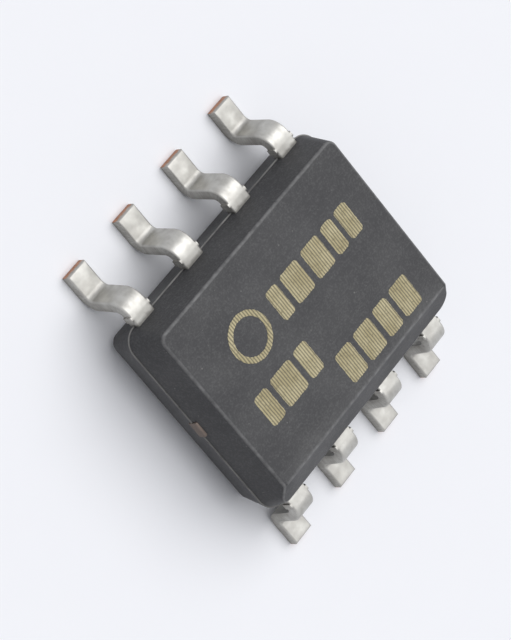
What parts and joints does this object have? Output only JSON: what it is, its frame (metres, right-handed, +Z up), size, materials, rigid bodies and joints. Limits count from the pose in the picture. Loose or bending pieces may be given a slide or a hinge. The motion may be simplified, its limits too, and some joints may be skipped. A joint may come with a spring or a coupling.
{
  "type": "soic mosfet chip",
  "caption": "Surface-mount transistor package: flat black moulded body with a bevelled edge, gull-wing leads along both long sides, and a lead frame, dies and bond wires inside.",
  "frame": {"origin": "middle of the footprint, on the seating plane under the lead feet", "axes": "+X along the lead rows from lead 1 to lead 4, +Y across the body from leads 1-4 to leads 5-8, +Z up"},
  "size_m": [0.005, 0.006, 0.0016],
  "materials": {
    "mold_compound": "fine spark-eroded matte black moulding compound",
    "tin_plate": "bright matte tin plating on copper",
    "solder": "dull solder",
    "silicon": "polished silicon",
    "gold": "drawn gold wire"
  },
  "bodies": {
    "root": {"mold_body": "mold_compound", "drain_frame_1": "tin_plate", "source_lead_1": "tin_plate", "gate_lead_1": "tin_plate", "die_attach_1": "solder", "die_1": "silicon", "gate_wire_1": "gold", "source_wire_1_1": "gold", "source_wire_1_2": "gold", "source_wire_1_3": "gold", "source_wire_1_4": "gold", "drain_frame_2": "tin_plate", "source_lead_2": "tin_plate", "gate_lead_2": "tin_plate", "die_attach_2": "solder", "die_2": "silicon", "gate_wire_2": "gold", "source_wire_2_1": "gold", "source_wire_2_2": "gold", "source_wire_2_3": "gold", "source_wire_2_4": "gold"}
  },
  "joints": []
}
